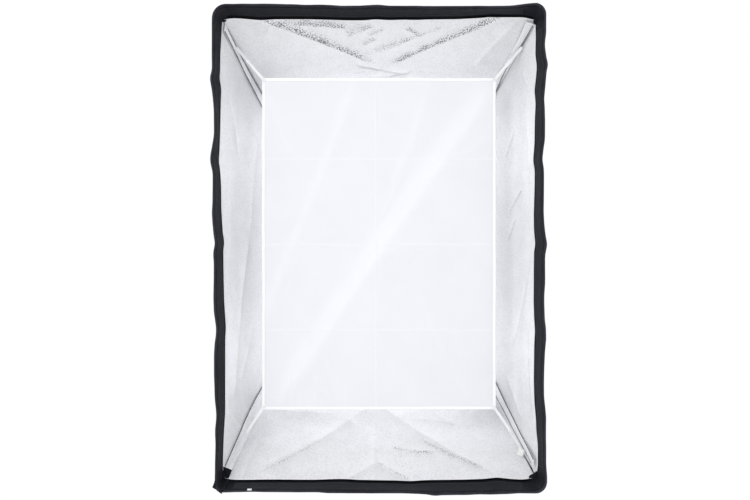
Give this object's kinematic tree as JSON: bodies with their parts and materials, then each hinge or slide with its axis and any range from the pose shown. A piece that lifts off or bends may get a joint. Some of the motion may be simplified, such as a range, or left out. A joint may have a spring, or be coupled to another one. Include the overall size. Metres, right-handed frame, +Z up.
{
  "type": "softbox",
  "caption": "Rectangular fabric softbox with a silver lined interior, black rim and removable inner diffuser on a rotating speed ring with bayonet lugs.",
  "frame": {"origin": "centre of the bayonet's mounting face, where the light head's front meets the insert", "axes": "+Y along the light mount's axis towards the light head, the box opens towards -Y, +Z up along the long side, +X to the right seen from the front"},
  "size_m": [0.62, 0.392, 0.912],
  "materials": {
    "shell_nylon": "black coated nylon, fine plain weave",
    "silver_lining": "silver coated cloth with a pebbled surface",
    "seam_tape": "silver cloth sleeve with a stitched edge",
    "rim_nylon": "black nylon, folded and hemmed",
    "loop_tape": "black brushed loop tape",
    "diffuser_cloth": "white translucent nylon",
    "diffuser_binding": "white folded woven tape",
    "strap_elastic": "white woven elastic",
    "label_white": "blank white woven label",
    "spring_steel": "ground spring steel",
    "ferrule_alloy": "turned",
    "tip_cap": "matt",
    "ring_paint": "cast alloy, black satin coat",
    "socket_paint": "black satin coat",
    "insert_alloy": "machined, satin",
    "screw_steel": "zinc plated",
    "pad_plastic": "natural nylon",
    "knob_plastic": "black, fine texture",
    "snap_plastic": "white moulded"
  },
  "bodies": {
    "mount": {"bayonet_insert": "insert_alloy"},
    "box": {"speed_ring": "ring_paint", "retaining_ring": "ring_paint", "retaining_screws": "screw_steel", "rod_socket_top_right": "socket_paint", "rod_socket_top_left": "socket_paint", "rod_socket_bottom_right": "socket_paint", "rod_socket_bottom_left": "socket_paint", "socket_screws": "screw_steel", "rod_top_right": "spring_steel", "rod_top_left": "spring_steel", "rod_bottom_right": "spring_steel", "rod_bottom_left": "spring_steel", "rod_ferrules": "ferrule_alloy", "rod_tips": "tip_cap", "shell_top": "shell_nylon", "shell_bottom": "shell_nylon", "shell_right": "shell_nylon", "shell_left": "shell_nylon", "lining_top": "silver_lining", "lining_bottom": "silver_lining", "lining_right": "silver_lining", "lining_left": "silver_lining", "rod_sleeve_top_right": "seam_tape", "rod_sleeve_top_left": "seam_tape", "rod_sleeve_bottom_right": "seam_tape", "rod_sleeve_bottom_left": "seam_tape", "rim_top": "rim_nylon", "rim_bottom": "rim_nylon", "rim_right": "rim_nylon", "rim_left": "rim_nylon", "loop_tape_top": "loop_tape", "loop_tape_bottom": "loop_tape", "loop_tape_right": "loop_tape", "loop_tape_left": "loop_tape", "corner_pockets": "rim_nylon", "rear_gussets": "shell_nylon", "snap_studs": "snap_plastic", "strap_tabs": "strap_elastic", "care_label": "label_white", "rim_label": "label_white"},
    "diffuser": {"diffuser_panel": "diffuser_cloth", "diffuser_binding": "diffuser_binding", "diffuser_strap_top_right": "strap_elastic", "diffuser_strap_top_left": "strap_elastic", "diffuser_strap_bottom_right": "strap_elastic", "diffuser_strap_bottom_left": "strap_elastic", "snap_caps": "snap_plastic"},
    "clamp_pad_top": {"clamp_pad_top": "pad_plastic"},
    "clamp_knob_top": {"clamp_screw_top": "screw_steel", "clamp_knob_top": "knob_plastic"},
    "clamp_pad_bottom": {"clamp_pad_bottom": "pad_plastic"},
    "clamp_knob_bottom": {"clamp_screw_bottom": "screw_steel", "clamp_knob_bottom": "knob_plastic"},
    "flap_top": {"rear_flap_top": "shell_nylon"},
    "flap_bottom": {"rear_flap_bottom": "shell_nylon"},
    "flap_right": {"rear_flap_right": "shell_nylon"},
    "flap_left": {"rear_flap_left": "shell_nylon"}
  },
  "joints": [
    {"name": "box_rotation", "type": "hinge", "parent": "mount", "child": "box", "pos_m": [0, -0.012, 0], "axis": [0, 1, 0], "continuous": true},
    {"name": "diffuser_lift_out", "type": "slide", "parent": "box", "child": "diffuser", "axis": [0, -1, 0], "range_m": [0, 0.3]},
    {"name": "flap_top_opening", "type": "hinge", "parent": "box", "child": "flap_top", "pos_m": [0, -0.04728, 0.1618], "axis": [1, 0, 0], "range_deg": [0, 110]},
    {"name": "flap_bottom_opening", "type": "hinge", "parent": "box", "child": "flap_bottom", "pos_m": [0, -0.04728, -0.1618], "axis": [-1, 0, 0], "range_deg": [0, 110]},
    {"name": "flap_right_opening", "type": "hinge", "parent": "box", "child": "flap_right", "pos_m": [0.13164, -0.04728, 0], "axis": [0, 0, -1], "range_deg": [0, 110]},
    {"name": "flap_left_opening", "type": "hinge", "parent": "box", "child": "flap_left", "pos_m": [-0.13164, -0.04728, 0], "axis": [0, 0, 1], "range_deg": [0, 110]},
    {"name": "clamp_pad_top_slide", "type": "slide", "parent": "box", "child": "clamp_pad_top", "axis": [0, 0, 1], "range_m": [0, 0.0025]},
    {"name": "clamp_knob_top_turn", "type": "hinge", "parent": "clamp_pad_top", "child": "clamp_knob_top", "pos_m": [0, -0.012, 0.1], "axis": [0, 0, 1], "range_deg": [0, 720]},
    {"name": "clamp_pad_bottom_slide", "type": "slide", "parent": "box", "child": "clamp_pad_bottom", "axis": [0, 0, -1], "range_m": [0, 0.0025]},
    {"name": "clamp_knob_bottom_turn", "type": "hinge", "parent": "clamp_pad_bottom", "child": "clamp_knob_bottom", "pos_m": [0, -0.012, -0.1], "axis": [0, 0, -1], "range_deg": [0, 720]}
  ],
  "couplings": [
    {"joint": "clamp_knob_top_turn", "follows": "clamp_pad_top_slide", "rad_per_m": 5026.5},
    {"joint": "clamp_knob_bottom_turn", "follows": "clamp_pad_bottom_slide", "rad_per_m": 5026.5}
  ]
}
